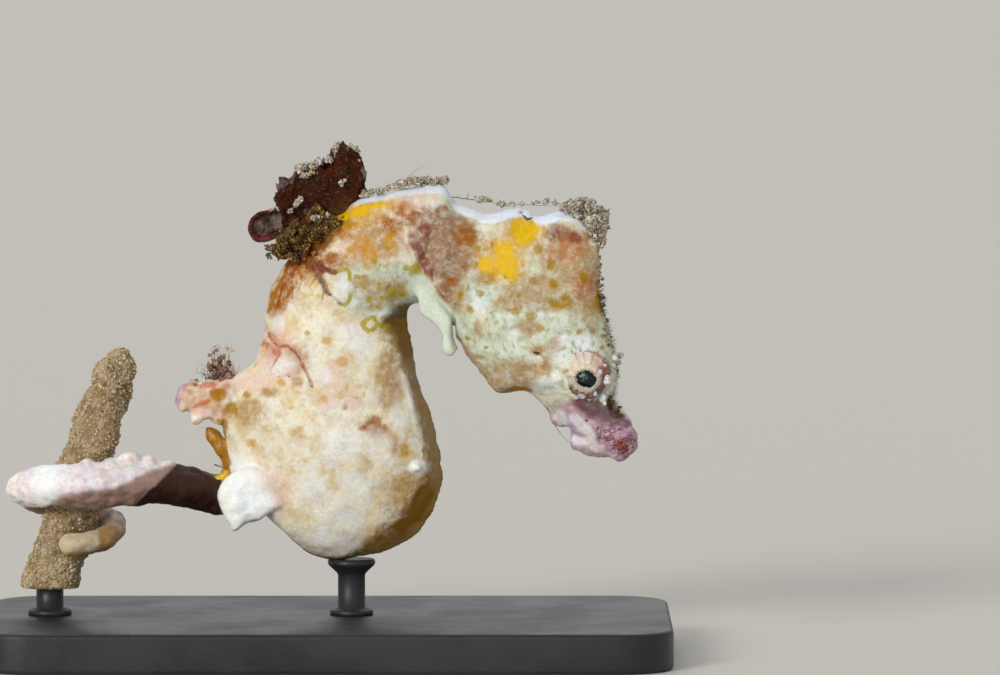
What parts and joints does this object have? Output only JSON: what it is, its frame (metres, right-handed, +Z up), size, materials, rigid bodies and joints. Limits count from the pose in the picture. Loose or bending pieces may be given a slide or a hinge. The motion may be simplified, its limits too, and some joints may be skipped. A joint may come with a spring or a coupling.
{
  "type": "pygmy seahorse on a display stand",
  "caption": "Pygmy seahorse with a deep arched trunk, lowered head and short snout, its curled tail gripping a short cut stalk, held over a flat display stand.",
  "frame": {"origin": "middle of the underside of the stand base", "axes": "+Z up, +X towards the snout along the base, +Y towards the animal's left side"},
  "size_m": [0.0086, 0.0046, 0.0064],
  "materials": {
    "body_skin": "satin, moist skin with fine bumps, cream mottled with yellow, olive and rust",
    "snout_skin": "satin skin, violet-pink with darker red blotches",
    "pale_skin": "satin skin, near white with pink edges",
    "eye": "glossy turret, peach with fine radial lines and a dark pupil",
    "frond": "dull maroon skin filament with grey and gold grains",
    "fin": "thin rayed fin, clear with an amber base",
    "stalk": "rough and sandy",
    "stand": "plain satin dark grey"
  },
  "bodies": {
    "root": {"snout": "snout_skin", "head": "body_skin", "neck": "body_skin", "trunk_front": "body_skin", "trunk_rear": "body_skin", "eye_left": "eye", "eye_right": "eye", "coronet": "pale_skin", "coronet_tuft": "frond", "pectoral_fin_left": "pale_skin", "pectoral_fin_right": "pale_skin", "nape_frond": "frond", "nape_frond_loop": "frond", "back_lappet": "pale_skin", "dorsal_fin": "fin", "tail_lappet": "pale_skin", "tail_root": "body_skin", "tail_bar": "pale_skin", "tail_bend": "pale_skin", "tail_back_wrap": "body_skin", "tail_side_wrap": "body_skin", "tail_tip": "pale_skin", "perch_stalk": "stalk", "stand_base": "stand", "stand_rod_perch": "stand", "stand_rod_body": "stand"}
  },
  "joints": []
}
